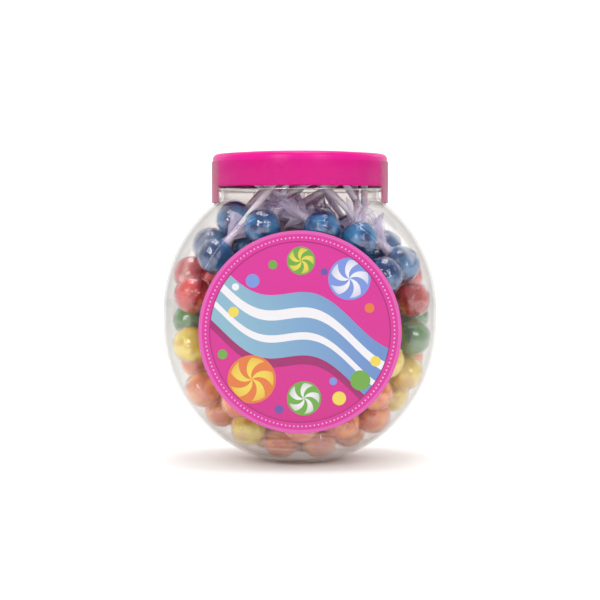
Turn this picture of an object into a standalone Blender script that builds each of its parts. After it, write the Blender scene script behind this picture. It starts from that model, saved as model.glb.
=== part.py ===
"""A clear round jar of ball lollipops, shut by a screw lid under a clear seal band.

The jar is a ball with a flat panel front and back, a wide neck and a flat foot. A round label lies in the
front panel, and the lollipops stand against the wall all round, with their sticks turned inwards.
Metres, +Z up, front towards -Y. The origin is on the floor, under the middle of the jar.
"""

import math
import random

import bpy
from mathutils import Matrix, Vector

# Jar
BODY_RADIUS = 0.0722
LOWER_CENTRE = 0.0700
STRAIGHT_SIDE = 0.0086
UPPER_CENTRE = LOWER_CENTRE + STRAIGHT_SIDE
PANEL_DEPTH = 0.0480
PANEL_EDGE_ROUND = 0.0030
WALL = 0.0012
FLOOR_TOP = 0.0024
DIMPLE_RADIUS = 0.0115
DIMPLE_DEPTH = 0.0010
NECK_RADIUS = 0.0415
NECK_TOP = 0.1576
NECK_BORE = 0.0400
BORE_DEPTH = 0.0300
NECK_ROOT_RADIUS = 0.0433
NECK_ROOT_TOP = 0.1363
NECK_ROOT_SLOPE = 0.0020
NECK_ROOT_DEPTH = 0.0060
BEAD_RADIUS = 0.0432
BEAD_HEIGHT = 0.1414
BEAD_HALF_WIDTH = 0.0005
BEAD_SLOPE = 0.0007

# Label and the round recess that it lies in
LABEL_RADIUS = 0.0505
LABEL_THICKNESS = 0.0002
RECESS_RADIUS = 0.0512
RECESS_DEPTH = 0.0006

# Lid and seal band
LID_RADIUS = 0.0456
LID_BOTTOM = 0.1430
LID_TOP = 0.1607
LID_WALL = 0.0015
LID_ROOF = 0.0024
LID_EDGE_ROUND = 0.0026
LID_STEP_RADIUS = 0.0335
LID_STEP_WIDTH = 0.0010
LID_STEP_HEIGHT = 0.0007
LIP_HEIGHT = 0.0020
LIP_SLOPE = 0.0004
LIP_INSET = 0.0003
BAND_THICKNESS = 0.00025
BAND_BOTTOM = 0.1347
BAND_TOP = 0.1560

# Lollipops
BALL_RADIUS = 0.0093
STICK_RADIUS = 0.00175
STICK_LENGTH = 0.0510
CORE_INSET = 0.0105
CORE_EDGE_ROUND = 0.0080
HEAP_TOP = 0.1215
HEAP_MIDDLE = -0.0100
HEAP_FLAT = 0.0186
HEAP_SLOPE = 0.30
HEAP_REACH = 0.0850
TOP_BALL_LIFT = 0.0035
TOP_RING_RADIUS = 0.0205
TOP_RING_COUNT = 6
TOP_RING_TURN = 0.3
ROW_SPACING = 0.0184
BALL_SPACING = 0.0222
FREE_SPACING = 1.5 * BALL_RADIUS
UNEVENNESS = 0.0016
SETTLING_PASSES = 120
SEED = 11

GAP = 0.0003
WALL_CLEARANCE = 0.0008
WRAPPER_CLEARANCE = 0.0024
OVERCUT = 0.01
BEYOND = 0.2
BODY_STEPS = 40
NECK_STEPS = 36
CORE_STEPS = 18
STICK_STEPS = 8
BALL_SUBDIVISIONS = 2
SMOOTH_ANGLE = 35

COLOURS = {
    "jar": ((0.90, 0.92, 0.93, 1.0), 0.08),
    "lid": ((0.84, 0.02, 0.35, 1.0), 0.25),
    "seal_band": ((0.95, 0.85, 0.89, 1.0), 0.10),
    "label": ((0.84, 0.06, 0.42, 1.0), 0.40),
    "lollipops": ((0.75, 0.35, 0.25, 1.0), 0.20),
}

# Balls that show round the label: across and height, and the depth of those that don't touch the wall
FRONT_BALLS = (
    (-0.0425, 0.1073),
    (-0.0335, 0.1262),
    (-0.0240, 0.1095, -0.0190),
    (-0.0189, 0.1224),
    (-0.0050, 0.1115, -0.0200),
    (0.0110, 0.1214),
    (0.0300, 0.1160),
    (0.0360, 0.1095, -0.0110),
    (0.0520, 0.1030),
    (-0.0570, 0.0975, 0.0000),
    (-0.0548, 0.0878),
    (-0.0572, 0.0735, -0.0050),
    (-0.0560, 0.0621),
    (-0.0536, 0.0520, 0.0020),
    (-0.0500, 0.0385),
    (-0.0410, 0.0262, -0.0010),
    (-0.0264, 0.0189),
    (-0.0096, 0.0121),
    (0.0096, 0.0121),
    (0.0250, 0.0165, -0.0050),
    (0.0375, 0.0250),
    (0.0480, 0.0345, 0.0000),
    (0.0545, 0.0470, -0.0140),
    (0.0579, 0.0655),
    (0.0578, 0.0850),
)

# Sticks that stand up into the neck: where each starts in the heap, and the way that it points
NECK_STICKS = (
    ((-0.0425, -0.0325, 0.1073), (0.62, 0.10, 0.78)),
    ((0.0520, -0.0200, 0.1030), (-0.70, -0.06, 0.71)),
    ((0.0335, -0.0060, 0.0940), (0.00, 0.00, 1.00)),
    ((0.0100, 0.0300, 0.0980), (-0.25, -0.35, 0.90)),
    ((-0.0200, 0.0200, 0.0950), (0.15, -0.15, 0.98)),
    ((0.0400, 0.0250, 0.1020), (-0.55, -0.25, 0.80)),
)


def clear_scene():
    for obj in list(bpy.data.objects):
        bpy.data.objects.remove(obj)


def new_collection(name):
    collection = bpy.data.collections.new(name)
    bpy.context.scene.collection.children.link(collection)
    return collection


def finish_of(name):
    colour, roughness = COLOURS[name]
    material = bpy.data.materials.new(name)
    material.use_nodes = True
    shader = material.node_tree.nodes["Principled BSDF"]
    shader.inputs["Base Color"].default_value = colour
    shader.inputs["Roughness"].default_value = roughness
    shader.inputs["Metallic"].default_value = 0.0
    return material


def arc(centre_r, centre_z, radius, start, end, pieces):
    """Points of an arc of a profile, by its angles from the outward direction, in degrees."""
    points = []
    for i in range(pieces + 1):
        angle = math.radians(start + (end - start) * i / pieces)
        points.append((centre_r + radius * math.cos(angle), centre_z + radius * math.sin(angle)))
    return points


def turned(name, profile, collection, steps=NECK_STEPS, ring=False):
    """A profile turned round the upright axis, where it starts and ends unless it is a ring's loop."""
    count = len(profile)
    edges = [(i, i + 1) for i in range(count - 1)]
    if ring:
        edges.append((count - 1, 0))
    mesh = bpy.data.meshes.new(name)
    mesh.from_pydata([(r, 0.0, z) for r, z in profile], edges, [])
    obj = bpy.data.objects.new(name, mesh)
    collection.objects.link(obj)
    turn = obj.modifiers.new("Turn", "SCREW")
    turn.steps = turn.render_steps = steps
    turn.use_merge_vertices = True
    turn.merge_threshold = 0.00001
    return obj


def apply_modifiers(obj):
    """The object with its own modifiers worked into its mesh."""
    graph = bpy.context.evaluated_depsgraph_get()
    mesh = bpy.data.meshes.new_from_object(obj.evaluated_get(graph))
    obj.modifiers.clear()
    obj.data = mesh
    return obj


def boolean(obj, other, operation):
    modifier = obj.modifiers.new(operation.title(), "BOOLEAN")
    modifier.operation = operation
    modifier.object = other


def moved_to(collection, name):
    """The primitive that was just added, named and put in a collection."""
    obj = bpy.context.active_object
    obj.name = name
    for old in list(obj.users_collection):
        old.objects.unlink(obj)
    collection.objects.link(obj)
    return obj


def as_cutter(obj):
    obj.hide_render = True
    obj.display_type = "WIRE"
    return obj


def smooth(obj):
    obj.data.shade_smooth()
    obj.data.set_sharp_from_angle(angle=math.radians(SMOOTH_ANGLE))


def panel_body(name, radius, depth, edge_round, collection, steps=BODY_STEPS, side_pieces=7, edge_pieces=2):
    """A ball cut flat at both panels, with rounded panel edges, and drawn apart by the straight side."""
    centre_r = math.sqrt((radius - edge_round) ** 2 - (depth - edge_round) ** 2)
    centre_h = depth - edge_round
    tangent = math.degrees(math.atan2(centre_h, centre_r))
    profile = [(0.0, depth)]
    profile += arc(centre_r, centre_h, edge_round, 90, tangent, edge_pieces)
    profile += arc(0.0, 0.0, radius, tangent, -tangent, side_pieces)[1:-1]
    profile += arc(centre_r, -centre_h, edge_round, -tangent, -90, edge_pieces)
    profile.append((0.0, -depth))
    body = apply_modifiers(turned(name, profile, collection, steps))
    half_step = Matrix.Rotation(math.pi / steps, 4, "Z")
    body.data.transform(Matrix.Rotation(math.pi / 2, 4, "X") @ half_step)
    for vertex in body.data.vertices:
        vertex.co.z += LOWER_CENTRE if vertex.co.z < 0 else UPPER_CENTRE
    return body


def box_below(name, top, collection):
    """A large block whose upper face is at this height."""
    bpy.ops.mesh.primitive_cube_add(size=BEYOND, location=(0.0, 0.0, top - BEYOND / 2))
    return as_cutter(moved_to(collection, name))


def panel_disc(name, radius, near, far, collection):
    """A round disc on the front or back panel, from one depth to another."""
    bpy.ops.mesh.primitive_cylinder_add(
        vertices=BODY_STEPS,
        radius=radius,
        depth=abs(far - near),
        location=(0.0, (near + far) / 2, LOWER_CENTRE),
        rotation=(math.pi / 2, 0.0, 0.0),
    )
    return moved_to(collection, name)


def make_jar(parts, cutters):
    """The hollow jar: the ball with its panels, the neck with its bead, the foot and the label recesses."""
    jar = panel_body("jar", BODY_RADIUS, PANEL_DEPTH, PANEL_EDGE_ROUND, parts)

    bead_half_foot = BEAD_HALF_WIDTH + BEAD_SLOPE
    root_foot = NECK_ROOT_TOP - NECK_ROOT_DEPTH
    neck_profile = [(0.0, NECK_TOP), (NECK_RADIUS, NECK_TOP), (NECK_RADIUS, BEAD_HEIGHT + bead_half_foot)]
    neck_profile += [(BEAD_RADIUS, BEAD_HEIGHT + side * BEAD_HALF_WIDTH) for side in (1, -1)]
    neck_profile.append((NECK_RADIUS, BEAD_HEIGHT - bead_half_foot))
    neck_profile.append((NECK_RADIUS, NECK_ROOT_TOP + NECK_ROOT_SLOPE))
    neck_profile += [(NECK_ROOT_RADIUS, NECK_ROOT_TOP), (NECK_ROOT_RADIUS, root_foot), (0.0, root_foot)]
    boolean(jar, as_cutter(turned("neck_solid", neck_profile, cutters)), "UNION")
    boolean(jar, box_below("below_floor", 0.0, cutters), "DIFFERENCE")

    dimple_profile = [(share * DIMPLE_RADIUS, (1 - share**2) * DIMPLE_DEPTH) for share in (0.0, 0.6, 1.0)]
    dimple_profile += [(DIMPLE_RADIUS, -OVERCUT), (0.0, -OVERCUT)]
    boolean(jar, as_cutter(turned("dimple", dimple_profile, cutters, CORE_STEPS)), "DIFFERENCE")

    recess_floor = PANEL_DEPTH - RECESS_DEPTH
    for side, name in ((-1, "front_recess"), (1, "back_recess")):
        cut_end = PANEL_DEPTH + OVERCUT
        recess = panel_disc(name, RECESS_RADIUS, side * recess_floor, side * cut_end, cutters)
        boolean(jar, as_cutter(recess), "DIFFERENCE")

    cavity = panel_body("cavity", BODY_RADIUS - WALL, recess_floor - WALL, PANEL_EDGE_ROUND - WALL, cutters)
    boolean(cavity, box_below("below_cavity", FLOOR_TOP, cutters), "DIFFERENCE")
    bore_top, bore_foot = NECK_TOP + OVERCUT, NECK_TOP - BORE_DEPTH
    bore_profile = [(0.0, bore_top), (NECK_BORE, bore_top), (NECK_BORE, bore_foot), (0.0, bore_foot)]
    boolean(cavity, as_cutter(turned("bore", bore_profile, cutters)), "UNION")
    boolean(jar, as_cutter(cavity), "DIFFERENCE")
    apply_modifiers(jar)
    smooth(jar)
    return jar


def make_lid(parts):
    """The screw lid: a raised middle, a rounded upper edge and a plain skirt with a thin lip at its foot."""
    shoulder, lip = LID_TOP - LID_STEP_HEIGHT, LID_BOTTOM + LIP_HEIGHT
    inside, lip_radius = LID_RADIUS - LID_WALL, LID_RADIUS - LIP_INSET
    profile = [(0.0, LID_TOP), (LID_STEP_RADIUS, LID_TOP), (LID_STEP_RADIUS + LID_STEP_WIDTH, shoulder)]
    profile += arc(LID_RADIUS - LID_EDGE_ROUND, shoulder - LID_EDGE_ROUND, LID_EDGE_ROUND, 90, 0, 3)
    profile += [(LID_RADIUS, lip + LIP_SLOPE), (lip_radius, lip), (lip_radius, LID_BOTTOM)]
    profile += [(inside, LID_BOTTOM), (inside, LID_TOP - LID_ROOF), (0.0, LID_TOP - LID_ROOF)]
    lid = turned("lid", profile, parts)
    smooth(lid)
    return lid


def make_seal_band(parts):
    """The clear film that holds the lid's skirt and hangs down to the jar's shoulder."""
    inside = LID_RADIUS + GAP
    outside = inside + BAND_THICKNESS
    profile = [(outside, BAND_TOP), (outside, BAND_BOTTOM), (inside, BAND_BOTTOM), (inside, BAND_TOP)]
    band = turned("seal_band", profile, parts, ring=True)
    smooth(band)
    return band


def make_label(parts):
    """The round label, lying in the front panel's recess."""
    back = -(PANEL_DEPTH - RECESS_DEPTH + GAP)
    label = panel_disc("label", LABEL_RADIUS, back, back - LABEL_THICKNESS, parts)
    smooth(label)
    return label


# The room for a ball's centre
ROOM_RADIUS = BODY_RADIUS - WALL - BALL_RADIUS - WALL_CLEARANCE
ROOM_DEPTH = PANEL_DEPTH - RECESS_DEPTH - WALL - BALL_RADIUS - GAP
ROW_RADIUS = ROOM_RADIUS - WRAPPER_CLEARANCE
ROOM_FLOOR = FLOOR_TOP + BALL_RADIUS + GAP


def middle_height(height):
    """The height of the body's centre for a place at this height, which the straight side draws out."""
    return min(max(height, LOWER_CENTRE), UPPER_CENTRE)


def forward_place(across, height):
    """The foremost depth for a ball's centre at this place."""
    room = ROOM_RADIUS**2 - across**2 - (height - middle_height(height)) ** 2
    return -min(math.sqrt(max(room, 0.0)), ROOM_DEPTH)


def heap_height(across, depth):
    """The height of the core's top here: flat round its own middle, and falling towards the wall."""
    reach = math.sqrt((across - HEAP_MIDDLE) ** 2 + depth**2)
    return HEAP_TOP - HEAP_SLOPE * max(reach - HEAP_FLAT, 0.0)


def in_room(place):
    """The nearest place to this one inside the jar and no higher than the heap."""
    x, y, z = place
    y = min(max(y, -ROOM_DEPTH), ROOM_DEPTH)
    z = min(max(z, ROOM_FLOOR), heap_height(x, y) + TOP_BALL_LIFT)
    middle = middle_height(z)
    distance = math.sqrt(x * x + y * y + (z - middle) ** 2)
    shrink = min(ROW_RADIUS / max(distance, GAP), 1.0)
    return x * shrink, y * shrink, middle + (z - middle) * shrink


def row_places(height, reach, turn):
    """Places at one height, evenly spaced along the wall's two arcs and the two panels between them."""
    half_chord = math.sqrt(max(reach**2 - ROOM_DEPTH**2, 0.0))
    half_arc = math.asin(min(ROOM_DEPTH / reach, 1.0))
    half_way = 2 * half_arc * reach + 2 * half_chord
    count = max(1, int(2 * half_way / BALL_SPACING))
    places = []
    for i in range(count):
        along = (i + turn) / count * 2 * half_way
        side = 1 if along < half_way else -1
        along %= half_way
        if along < 2 * half_arc * reach:
            angle = along / reach - half_arc
            places.append((side * reach * math.cos(angle), side * reach * math.sin(angle), height))
        else:
            across = half_chord - (along - 2 * half_arc * reach)
            places.append((side * across, side * min(ROOM_DEPTH, reach), height))
    return places


def wanted_places():
    """The rows of balls along the wall from the floor up, and the balls that close the heap's top."""
    places = []
    row_angle = ROW_SPACING / ROW_RADIUS
    for row in range(int(math.pi / row_angle)):
        polar = row * row_angle
        middle = LOWER_CENTRE if polar < math.pi / 2 else UPPER_CENTRE
        height = max(middle - ROW_RADIUS * math.cos(polar), ROOM_FLOOR)
        places += row_places(height, ROW_RADIUS * max(math.sin(polar), GAP), (row % 2) / 2)
    for ring_radius, count in ((0.0, 1), (TOP_RING_RADIUS, TOP_RING_COUNT)):
        for i in range(count):
            angle = math.tau * (i + TOP_RING_TURN) / count
            places.append((ring_radius * math.cos(angle), ring_radius * math.sin(angle), HEAP_TOP))
    return places


def shows(place):
    """Whether a ball here is seen from some side: the ones just behind the label aren't."""
    x, y, z = place
    return y > -ROOM_DEPTH / 2 or math.hypot(x, z - LOWER_CENTRE) > LABEL_RADIUS - BALL_RADIUS


def ball_places():
    """The balls' centres: the front ones stay put, and the rows along the wall are pushed apart."""
    draw = random.Random(SEED)
    places = [(x, depth[0] if depth else forward_place(x, z), z) for x, z, *depth in FRONT_BALLS]
    held = len(places)
    for place in wanted_places():
        place = [round(value + draw.uniform(-UNEVENNESS, UNEVENNESS), 6) for value in place]
        free = all(math.dist(place, other) > FREE_SPACING for other in places)
        if free and shows(place) and place[2] < HEAP_TOP + BALL_RADIUS:
            places.append(in_room(place))
    for _ in range(SETTLING_PASSES):
        for i in range(held, len(places)):
            push = [0.0, 0.0, 0.0]
            for j, other in enumerate(places):
                apart = [a - b for a, b in zip(places[i], other)]
                distance = math.sqrt(apart[0] ** 2 + apart[1] ** 2 + apart[2] ** 2)
                if j != i and distance < 2 * BALL_RADIUS + GAP:
                    share = 0.5 * (2 * BALL_RADIUS + GAP - distance) / distance
                    push = [p + share * a for p, a in zip(push, apart)]
            places[i] = in_room([a + b for a, b in zip(places[i], push)])
    return [tuple(round(value, 6) for value in place) for place in places]


def make_core(parts, cutters):
    """The heap's core: the jar's shape, about half a ball in from the wall, cut off by the heap's top."""
    inset = WALL + CORE_INSET
    radius, depth = BODY_RADIUS - inset, PANEL_DEPTH - RECESS_DEPTH - inset
    core = panel_body("lollipops", radius, depth, CORE_EDGE_ROUND, parts, CORE_STEPS, 4, 1)
    foot = HEAP_TOP - HEAP_SLOPE * (HEAP_REACH - HEAP_FLAT)
    profile = [(0.0, BEYOND), (HEAP_REACH, BEYOND), (HEAP_REACH, foot)]
    profile += [(HEAP_FLAT, HEAP_TOP), (0.0, HEAP_TOP)]
    above = as_cutter(turned("above_heap", profile, cutters, CORE_STEPS))
    above.location.x = HEAP_MIDDLE
    boolean(core, above, "DIFFERENCE")
    return core


def make_lollipops(parts, cutters):
    """The heap: the core, with the balls against the wall and the sticks in the neck joined to it."""
    heap = make_core(parts, cutters)
    pieces = new_collection("heap_pieces")
    for place in ball_places():
        bpy.ops.mesh.primitive_ico_sphere_add(
            subdivisions=BALL_SUBDIVISIONS, radius=BALL_RADIUS, location=place
        )
        moved_to(pieces, "ball")
    for start, way in NECK_STICKS:
        way = Vector(way).normalized()
        length = BALL_RADIUS + STICK_LENGTH
        bpy.ops.mesh.primitive_cylinder_add(vertices=STICK_STEPS, radius=STICK_RADIUS, depth=length)
        stick = moved_to(pieces, "stick")
        stick.location = Vector(start) + way * length / 2
        stick.rotation_euler = way.to_track_quat("Z", "Y").to_euler()
    join = heap.modifiers.new("Join", "BOOLEAN")
    join.operation = "UNION"
    join.operand_type = "COLLECTION"
    join.collection = pieces
    join.solver = "MANIFOLD"
    apply_modifiers(heap)
    for piece in list(pieces.objects):
        bpy.data.objects.remove(piece)
    bpy.data.collections.remove(pieces)
    smooth(heap)
    return heap


clear_scene()
object_parts = new_collection("lollipop_jar")
cutting_tools = new_collection("cutters")
make_jar(object_parts, cutting_tools)
make_lid(object_parts)
make_seal_band(object_parts)
make_label(object_parts)
make_lollipops(object_parts, cutting_tools)
for part in object_parts.objects:
    part.data.materials.clear()
    part.data.materials.append(finish_of(part.name))
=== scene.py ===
import math
import random

import bmesh
import bpy
from mathutils import Matrix, Vector, noise


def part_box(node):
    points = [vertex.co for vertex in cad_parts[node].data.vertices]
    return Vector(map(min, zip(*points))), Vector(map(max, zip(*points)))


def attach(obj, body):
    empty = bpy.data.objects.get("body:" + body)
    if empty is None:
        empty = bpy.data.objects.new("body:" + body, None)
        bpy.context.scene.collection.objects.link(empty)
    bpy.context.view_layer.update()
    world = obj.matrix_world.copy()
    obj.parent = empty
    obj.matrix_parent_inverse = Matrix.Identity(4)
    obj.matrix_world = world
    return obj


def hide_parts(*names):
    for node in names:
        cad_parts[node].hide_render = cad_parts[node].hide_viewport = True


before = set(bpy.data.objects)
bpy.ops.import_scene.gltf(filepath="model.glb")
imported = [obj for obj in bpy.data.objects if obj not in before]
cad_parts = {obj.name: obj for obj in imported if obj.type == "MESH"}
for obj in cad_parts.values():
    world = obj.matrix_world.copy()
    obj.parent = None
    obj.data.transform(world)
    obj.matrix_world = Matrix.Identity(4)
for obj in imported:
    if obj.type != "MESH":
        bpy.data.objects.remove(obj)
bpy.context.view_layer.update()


# Studio
# A white sweep lit all round, as for a shop picture. What is glossy mirrors the sweep behind it and a
# darker room in front, with two tall soft boxes there. The camera stands low in front of the label.
VIEW_CENTRE = Vector((0.0, 0.0, 0.0839))
VIEW_DISTANCE = 0.875
VIEW_RISE = math.radians(2.5)
VIEW_LENS = 100
DAYLIGHT = 1.28
ROOM_FRONT_Y, ROOM_FRONT_SHADE = -0.3, 0.28
ROOM_BACK_Y, ROOM_BACK_SHADE = 0.7, 0.98

scene = bpy.context.scene
scene.view_settings.view_transform = "Standard"
scene.cycles.transparent_max_bounces = 64

camera_data = bpy.data.cameras.new("camera")
camera_data.lens = VIEW_LENS
camera = bpy.data.objects.new("camera", camera_data)
camera.location = VIEW_CENTRE + VIEW_DISTANCE * Vector((0, -math.cos(VIEW_RISE), math.sin(VIEW_RISE)))
camera.rotation_euler = (VIEW_CENTRE - camera.location).to_track_quat("-Z", "Y").to_euler()
scene.collection.objects.link(camera)
scene.camera = camera


def soft_box(name, place, width, height, brightness):
    """A rectangular light that faces the jar, as bright as this all over."""
    data = bpy.data.lights.new(name, "AREA")
    data.shape = "RECTANGLE"
    data.size, data.size_y = width, height
    data.energy = brightness * math.pi * width * height
    light = bpy.data.objects.new(name, data)
    light.location = place
    light.rotation_euler = (VIEW_CENTRE - light.location).to_track_quat("-Z", "Y").to_euler()
    scene.collection.objects.link(light)


soft_box("left_strip_light", Vector((-0.44, -0.90, 0.50)), 0.26, 0.62, 5.6)
soft_box("right_strip_light", Vector((0.44, -0.90, 0.50)), 0.20, 0.56, 5.0)
soft_box("top_light", Vector((0.05, 0.05, 1.10)), 0.60, 0.45, 4.0)
soft_box("right_rim_light", Vector((0.80, 0.60, 0.62)), 0.20, 0.45, 2.0)
soft_box("left_rim_light", Vector((-0.85, 0.55, 0.50)), 0.16, 0.50, 1.6)

world = bpy.data.worlds.new("white_room")
world.use_nodes = True
room = world.node_tree
room_way = room.nodes.new("ShaderNodeTexCoord")
room_split = room.nodes.new("ShaderNodeSeparateXYZ")
room_ramp = room.nodes.new("ShaderNodeMapRange")
room_ramp.inputs["From Min"].default_value = ROOM_FRONT_Y
room_ramp.inputs["From Max"].default_value = ROOM_BACK_Y
room_ramp.inputs["To Min"].default_value = ROOM_FRONT_SHADE
room_ramp.inputs["To Max"].default_value = ROOM_BACK_SHADE
room_ray = room.nodes.new("ShaderNodeLightPath")
room_mix = room.nodes.new("ShaderNodeMix")
room_mix.data_type = "RGBA"
room_mix.inputs[6].default_value = (DAYLIGHT, DAYLIGHT, DAYLIGHT, 1.0)
room.links.new(room_way.outputs["Generated"], room_split.inputs[0])
room.links.new(room_split.outputs["Y"], room_ramp.inputs["Value"])
room.links.new(room_ray.outputs["Is Glossy Ray"], room_mix.inputs[0])
room.links.new(room_ramp.outputs[0], room_mix.inputs[7])
room.links.new(room_mix.outputs[2], room.nodes["Background"].inputs["Color"])
scene.world = world


# Jar
# The clear plastic jar, blow-moulded in one piece: a ball with a flat panel front and back, a round recess
# in each, and a wide neck with a bead round it. It is the outer form less the inner one. The bead catches
# the light. On the thick foot, pale streaks of painted light stand in for the light that it bends.
def tone(red, green, blue):
    """A colour given as it looks on a screen, 0 to 255, as the linear values that shaders take."""
    shares = (red / 255, green / 255, blue / 255)
    linear = [v / 12.92 if v <= 0.04045 else ((v + 0.055) / 1.055) ** 2.4 for v in shares]
    return (*linear, 1.0)


class Wire:
    """A node's output in a finish. Arithmetic on it adds Math nodes."""

    def __init__(self, finish, socket):
        self.finish = finish
        self.socket = socket

    def maths(self, operation, first, second):
        """A Math node in this wire's finish."""
        return self.finish.add("ShaderNodeMath", {"operation": operation}, {0: first, 1: second})

    def __add__(self, other):
        return self.maths("ADD", self, other)

    def __sub__(self, other):
        return self.maths("SUBTRACT", self, other)

    def __rsub__(self, other):
        return self.maths("SUBTRACT", other, self)

    def __mul__(self, other):
        return self.maths("MULTIPLY", self, other)

    def __pow__(self, other):
        return self.maths("POWER", self, other)

    def __lt__(self, other):
        return self.maths("LESS_THAN", self, other)

    def __gt__(self, other):
        return self.maths("GREATER_THAN", self, other)

    __radd__ = __add__
    __rmul__ = __mul__


class Finish:
    """A material under construction: each method adds nodes to it."""

    def __init__(self, name):
        self.material = bpy.data.materials.new(name)
        self.material.use_nodes = True
        self.tree = self.material.node_tree
        self.tree.nodes.clear()

    def add(self, kind, settings=None, sockets=None, output=0):
        """A node of any kind: its settings first, then its sockets' values or the wires that feed them."""
        node = self.tree.nodes.new(kind)
        for key, value in (settings or {}).items():
            if key == "stops":
                while len(node.color_ramp.elements) < len(value):
                    node.color_ramp.elements.new(0.5)
                for element, (position, shade) in zip(node.color_ramp.elements, value):
                    element.position = position
                    element.color = shade
            else:
                setattr(node, key, value)
        for key, value in (sockets or {}).items():
            if isinstance(value, Wire):
                self.tree.links.new(value.socket, node.inputs[key])
            else:
                node.inputs[key].default_value = value
        return Wire(self, node.outputs[output]) if node.outputs else None

    def place(self, stretch=(1.0, 1.0, 1.0)):
        """Where a point lies on the object, in metres, stretched along each axis."""
        coordinates = self.add("ShaderNodeTexCoord", output="Object")
        return self.add("ShaderNodeMapping", {}, {"Vector": coordinates, "Scale": stretch})

    def noise(self, scale, detail=2.0, stretch=(1.0, 1.0, 1.0)):
        """Soft clouds from 0 to 1, this many to the metre."""
        sockets = {"Vector": self.place(stretch), "Scale": scale, "Detail": detail}
        return self.add("ShaderNodeTexNoise", {}, sockets, output="Fac")

    def axis(self, spot, name):
        """One coordinate of a place."""
        return self.add("ShaderNodeSeparateXYZ", {}, {0: spot}, output=name)

    def remap(self, value, low, high, to_low=0.0, to_high=1.0):
        """A value taken from one range to another, and held within it."""
        return self.add("ShaderNodeMapRange", {}, {0: value, 1: low, 2: high, 3: to_low, 4: to_high})

    def blend(self, amount, first, second):
        """A colour between two others."""
        settings = {"data_type": "RGBA", "clamp_factor": True}
        return self.add("ShaderNodeMix", settings, {0: amount, 6: first, 7: second}, output=2)

    def grazing(self):
        """How edge-on the surface is seen: 0 straight on, 1 at its outline."""
        return self.add("ShaderNodeLayerWeight", {}, {"Blend": 0.5}, output="Facing")

    def bump(self, height, distance, strength):
        """The normal of a surface that this height raises, by so much and so strongly."""
        sockets = {"Height": height, "Distance": distance, "Strength": strength}
        return self.add("ShaderNodeBump", {}, sockets)

    def principled(self, colour, roughness, **more):
        """The plain shader, with its other sockets by their names."""
        sockets = {"Base Color": colour, "Roughness": roughness}
        sockets.update({key.replace("_", " "): value for key, value in more.items()})
        return self.add("ShaderNodeBsdfPrincipled", {}, sockets)

    def see_through(self, amount, tint, surface):
        """A clear skin: what is behind it, tinted, with this much of its own surface over that."""
        clear = self.add("ShaderNodeBsdfTransparent", {}, {"Color": tint})
        return self.add("ShaderNodeMixShader", {}, {0: amount, 1: clear, 2: surface})

    def done(self, shader):
        """The finished material."""
        self.add("ShaderNodeOutputMaterial", {}, {"Surface": shader})
        return self.material


def mesh_object(name, form):
    """An object from a bmesh, which is used up."""
    mesh = bpy.data.meshes.new(name)
    form.to_mesh(mesh)
    form.free()
    obj = bpy.data.objects.new(name, mesh)
    scene.collection.objects.link(obj)
    return obj


def piece(name, form, material, stands_for=(), crease=35):
    """A finished piece: its finish, its shading and the CAD nodes that it stands for."""
    obj = form if isinstance(form, bpy.types.Object) else mesh_object(name, form)
    obj.name = obj.data.name = name
    obj.data.materials.clear()
    obj.data.materials.append(material)
    if crease:
        obj.data.shade_smooth()
        obj.data.set_sharp_from_angle(angle=math.radians(crease))
    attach(obj, "root")
    if stands_for:
        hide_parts(*stands_for)
    return obj


jar_low, jar_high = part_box("jar")
SEAM_RISE = 0.00012
SEAM_HALF_ANGLE = 0.35
BODY_RADIUS = (jar_high[0] - jar_low[0]) / 2 - SEAM_RISE
PANEL_DEPTH = jar_high[1]
NECK_TOP = jar_high[2]
LOWER_CENTRE = 0.0700
UPPER_CENTRE = 0.0786
PANEL_EDGE_ROUND = 0.0030
EDGE_PIECES = 6
HALF_BODY_PIECES = 15
WALL = 0.0012
FLOOR_TOP = 0.0024
DIMPLE_RADIUS = 0.0115
DIMPLE_DEPTH = 0.0010
NECK_RADIUS = 0.0415
NECK_BORE = 0.0400
NECK_ROOT_RADIUS = 0.0433
NECK_ROOT_TOP = 0.1363
NECK_ROOT_DEPTH = 0.0060
NECK_EDGE = 0.0004
NECK_FILLET = 0.0022
BORE_DEPTH = 0.0300
BEAD_RADIUS = 0.0432
BEAD_HEIGHT = 0.1414
BEAD_ROUND = 0.0007
BEAD_SPREAD = 0.0013
RECESS_RADIUS = 0.0512
RECESS_DEPTH = 0.0006
SAME_POINT = 0.000002
OVERCUT = 0.01
BEYOND = 0.2


def arc(centre_r, centre_z, radius, start, end, pieces):
    """Points of an arc of a profile, by its angles from the outward direction, in degrees."""
    points = []
    for i in range(pieces + 1):
        angle = math.radians(start + (end - start) * i / pieces)
        points.append((centre_r + radius * math.cos(angle), centre_z + radius * math.sin(angle)))
    return points


def turned(profile, steps=96, ring=False):
    """A profile of distances and heights, turned round the upright axis. A ring's is a closed loop."""
    form = bmesh.new()
    points = [form.verts.new((r, 0.0, z)) for r, z in profile]
    edges = [form.edges.new(pair) for pair in zip(points, points[1:])]
    if ring:
        edges.append(form.edges.new((points[-1], points[0])))
    spin = {"cent": (0, 0, 0), "axis": (0, 0, 1), "angle": math.tau, "steps": steps}
    bmesh.ops.spin(form, geom=points + edges, use_merge=True, **spin)
    bmesh.ops.remove_doubles(form, verts=form.verts, dist=SAME_POINT)
    bmesh.ops.recalc_face_normals(form, faces=form.faces)
    return form


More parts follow.
